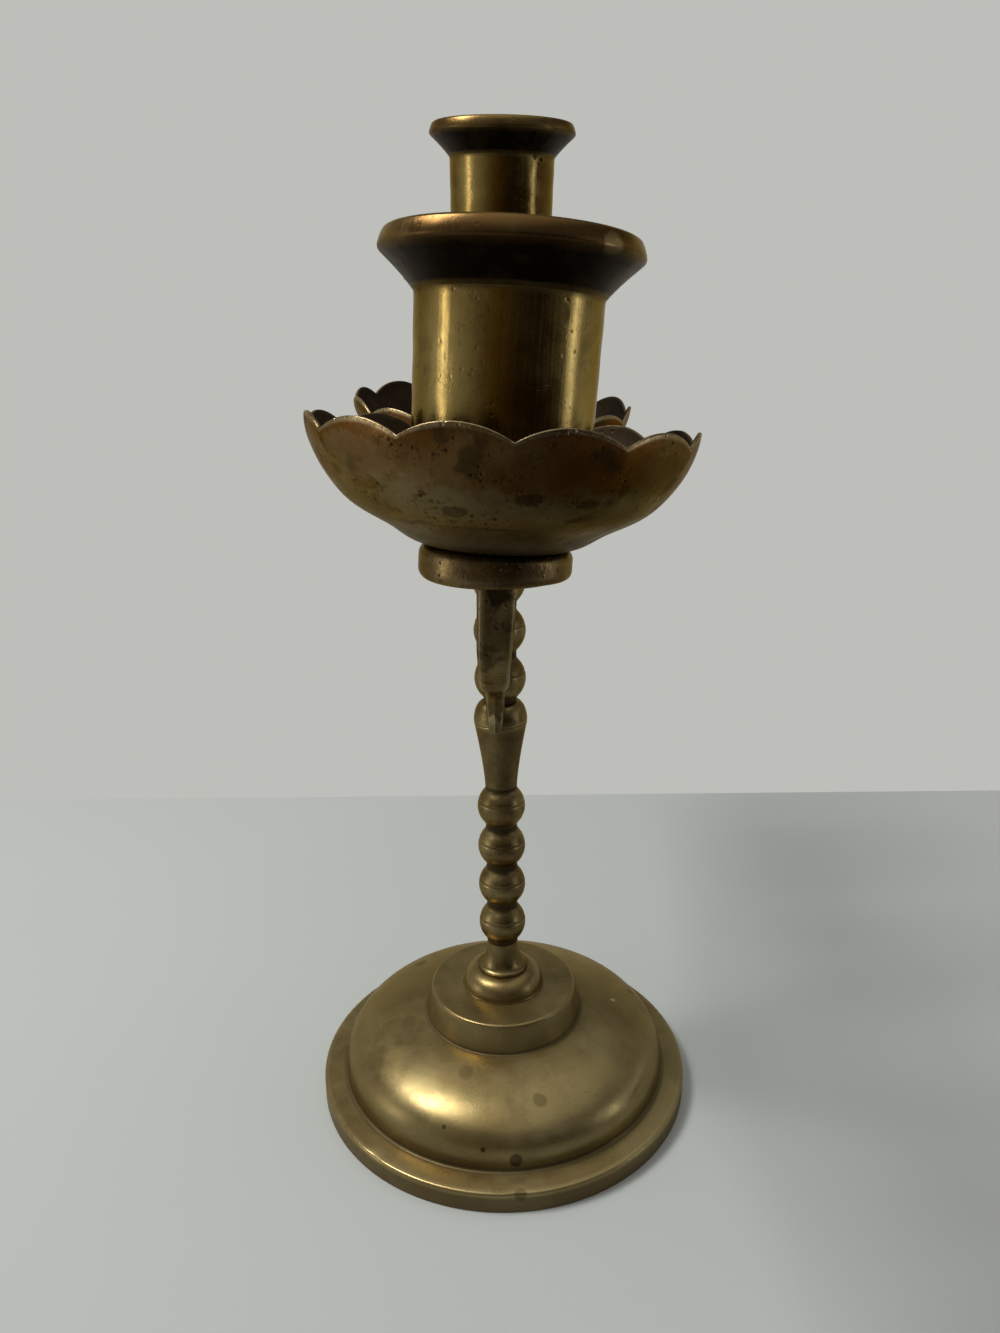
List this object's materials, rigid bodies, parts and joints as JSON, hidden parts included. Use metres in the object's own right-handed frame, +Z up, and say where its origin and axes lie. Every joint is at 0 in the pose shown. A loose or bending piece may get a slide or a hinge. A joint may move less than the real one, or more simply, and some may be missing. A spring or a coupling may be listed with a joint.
{
  "type": "candelabra",
  "caption": "Brass table candelabra with a domed round base, beaded turned stem, curved arms in one row, petalled drip bowls and flared candle cups.",
  "frame": {"origin": "On the table under the axis of the stem", "axes": "+Z up, the row of arms along Y, the pictured end at -Y, +X to the right of the picture"},
  "size_m": [0.12, 0.3291, 0.2897],
  "materials": {
    "base_brass": "satin, aged",
    "stem_brass": "satin, aged",
    "arm_brass": "cast, dull",
    "disc_brass": "pitted",
    "bowl_brass": "mottled, worn edges",
    "cup_brass": "satin, brushed upright",
    "rod_steel": "plain"
  },
  "bodies": {
    "root": {"base_shell": "base_brass", "base_washer": "rod_steel", "base_nut": "rod_steel", "tie_rod": "rod_steel", "foot_ring": "base_brass", "lower_stem": "stem_brass", "vase": "stem_brass", "arm_hub": "stem_brass", "upper_stem": "stem_brass", "front_outer_arm": "arm_brass", "front_inner_arm": "arm_brass", "rear_inner_arm": "arm_brass", "rear_outer_arm": "arm_brass", "front_outer_disc": "disc_brass", "front_inner_disc": "disc_brass", "centre_disc": "disc_brass", "rear_inner_disc": "disc_brass", "rear_outer_disc": "disc_brass", "front_outer_bowl": "bowl_brass", "front_inner_bowl": "bowl_brass", "centre_bowl": "bowl_brass", "rear_inner_bowl": "bowl_brass", "rear_outer_bowl": "bowl_brass", "front_outer_cup": "cup_brass", "front_inner_cup": "cup_brass", "centre_cup": "cup_brass", "rear_inner_cup": "cup_brass", "rear_outer_cup": "cup_brass", "front_outer_stud": "rod_steel", "front_inner_stud": "rod_steel", "centre_stud": "rod_steel", "rear_inner_stud": "rod_steel", "rear_outer_stud": "rod_steel"}
  },
  "joints": []
}
